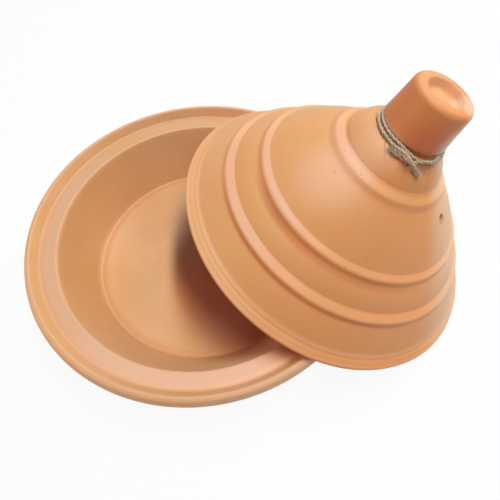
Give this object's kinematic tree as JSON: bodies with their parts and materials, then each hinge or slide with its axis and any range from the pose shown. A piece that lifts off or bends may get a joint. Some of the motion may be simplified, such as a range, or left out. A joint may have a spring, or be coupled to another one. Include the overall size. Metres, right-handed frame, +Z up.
{
  "type": "tagine",
  "caption": "Wide round earthenware base dish with a tall stepped conical lid that lifts off, shown leaning on the dish's lip, with twine tied round its neck.",
  "frame": {"origin": "centre of the dish's flat foot, on the table", "axes": "+Z up along the dish's axis, +X towards the side on which the lid leans, -Y towards the viewer of the picture"},
  "size_m": [0.3529, 0.2696, 0.1732],
  "materials": {
    "terracotta": "unglazed matt fired clay, salmon orange",
    "twine": "natural two-ply jute, grey beige"
  },
  "bodies": {
    "dish": {"base_dish": "terracotta"},
    "lid": {"lid": "terracotta", "neck_twine": "twine"}
  },
  "joints": [
    {"name": "lid_lift", "type": "slide", "parent": "dish", "child": "lid", "axis": [0, 0, 1], "range_m": [0, 0.15]}
  ]
}
